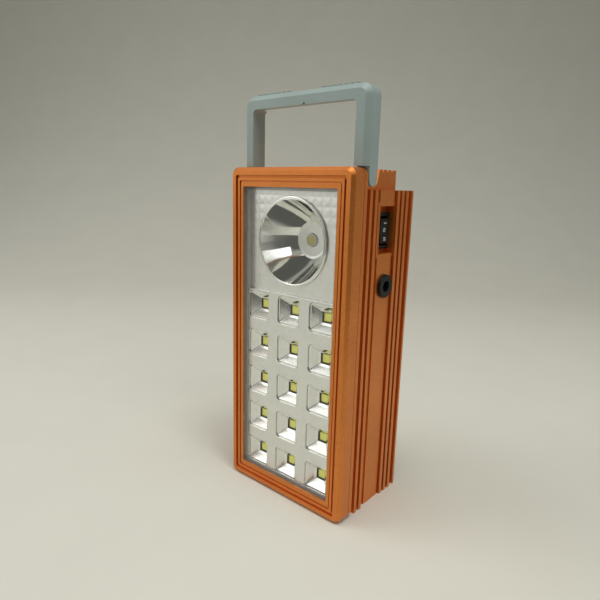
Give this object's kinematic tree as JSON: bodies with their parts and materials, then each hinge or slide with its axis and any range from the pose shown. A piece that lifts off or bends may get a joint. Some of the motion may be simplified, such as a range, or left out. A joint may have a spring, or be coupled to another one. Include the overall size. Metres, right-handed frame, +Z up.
{
  "type": "rechargeable emergency lantern",
  "caption": "Upright rechargeable lantern with a torch reflector above a grid of SMD lamps, folding bail handle, side rocker switch and charging socket.",
  "frame": {"origin": "middle of the base, on the surface the lantern stands on", "axes": "+Z up, -Y out of the lit front, +X towards the side with the switch"},
  "size_m": [0.08, 0.0555, 0.2141],
  "materials": {
    "copper_body": "metallic copper-orange paint on moulded ABS, satin",
    "handle_grey": "grey-blue moulded plastic, satin",
    "clear_cover": "clear moulded plastic window",
    "metallised": "vacuum-metallised plastic",
    "lamp_white": "white lamp body with yellow phosphor",
    "board_white": "white solder mask",
    "board_green": "green solder mask",
    "black_plastic": "black moulded plastic",
    "battery_case": "dark grey ABS case",
    "foam": "closed-cell foam",
    "film_amber": "dipped film capacitor",
    "wire_red": "PVC insulation",
    "wire_black": "PVC insulation",
    "brass": "bare blades",
    "steel": "zinc plated"
  },
  "bodies": {
    "housing": {"front_bezel": "copper_body", "rear_shell": "copper_body", "front_lens": "clear_cover", "led_reflector": "metallised", "torch_reflector": "metallised", "torch_led": "lamp_white", "torch_led_board": "board_white", "led_board": "board_white", "switch_body": "black_plastic", "dc_jack": "black_plastic", "dc_jack_pin": "steel", "dc_jack_nut": "steel", "battery": "battery_case", "battery_terminal_pos": "steel", "battery_terminal_neg": "steel", "battery_foam_pad": "foam", "battery_tray": "black_plastic", "control_board": "board_green", "dropper_capacitor": "film_amber", "smoothing_capacitor": "black_plastic", "bridge_rectifier": "black_plastic", "battery_wire_red": "wire_red", "battery_wire_black": "wire_black", "switch_wire_torch": "wire_red", "switch_wire_common": "wire_black", "switch_wire_lamps": "wire_red", "jack_wire_red": "wire_red", "jack_wire_black": "wire_black", "led_board_wire": "wire_red", "torch_wire": "wire_black", "led_r1c1": "lamp_white", "led_r1c2": "lamp_white", "led_r1c3": "lamp_white", "led_r2c1": "lamp_white", "led_r2c2": "lamp_white", "led_r2c3": "lamp_white", "led_r3c1": "lamp_white", "led_r3c2": "lamp_white", "led_r3c3": "lamp_white", "led_r4c1": "lamp_white", "led_r4c2": "lamp_white", "led_r4c3": "lamp_white", "led_r5c1": "lamp_white", "led_r5c2": "lamp_white", "led_r5c3": "lamp_white", "switch_terminal_1": "brass", "switch_terminal_2": "brass", "switch_terminal_3": "brass", "case_screw_1": "steel", "led_board_screw_1": "steel", "case_screw_2": "steel", "led_board_screw_2": "steel", "case_screw_3": "steel", "led_board_screw_3": "steel", "case_screw_4": "steel", "led_board_screw_4": "steel"},
    "handle": {"handle": "handle_grey", "handle_screw_left": "steel", "handle_screw_right": "steel"},
    "rocker": {"switch_rocker": "black_plastic"}
  },
  "joints": [
    {"name": "handle_fold", "type": "hinge", "parent": "housing", "child": "handle", "pos_m": [0, -0.0134, 0.1718], "axis": [-1, 0, 0], "range_deg": [0, 90]},
    {"name": "rocker_tilt", "type": "hinge", "parent": "housing", "child": "rocker", "pos_m": [0.03295, 0.0038, 0.1474], "axis": [0, 1, 0], "range_deg": [-9, 9]}
  ]
}
